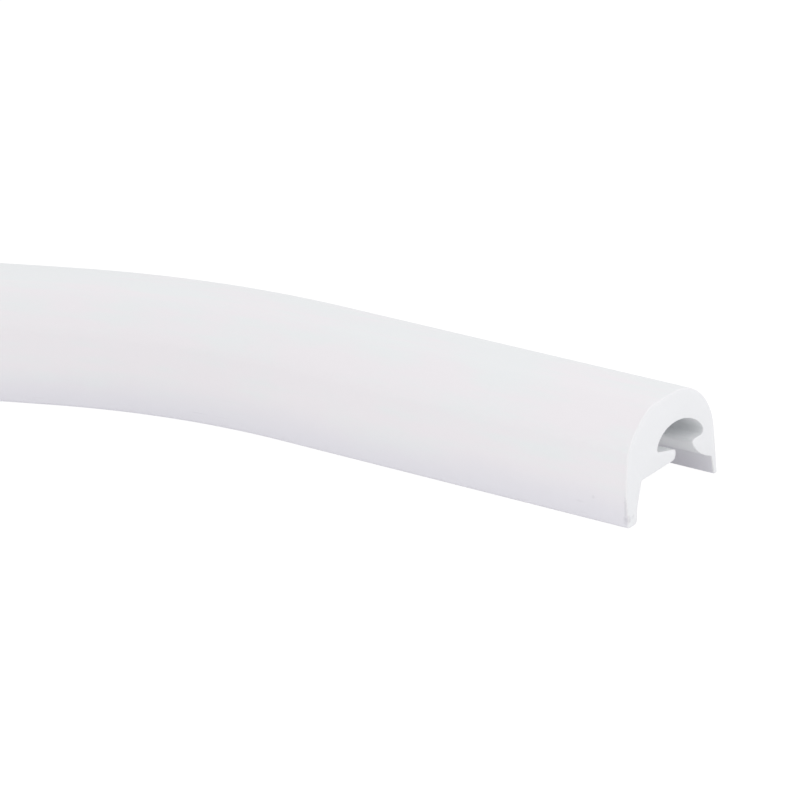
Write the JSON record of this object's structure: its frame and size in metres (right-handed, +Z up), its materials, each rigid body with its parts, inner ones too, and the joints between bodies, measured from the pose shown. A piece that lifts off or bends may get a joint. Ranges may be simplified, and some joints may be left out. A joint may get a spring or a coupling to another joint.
{
  "type": "rub rail",
  "caption": "Flexible hollow rub rail: an arched back on two uneven legs, with inward lips over a channel, and a bend near one square-cut end.",
  "frame": {"origin": "middle of the bounding box, at the level of the feet", "axes": "+X along the straight run towards the bent end, +Y towards the inboard side, +Z up out of the back"},
  "size_m": [0.9788, 0.1588, 0.0267],
  "materials": {
    "pvc": "satin"
  },
  "bodies": {
    "root": {"rail": "pvc"}
  },
  "joints": []
}
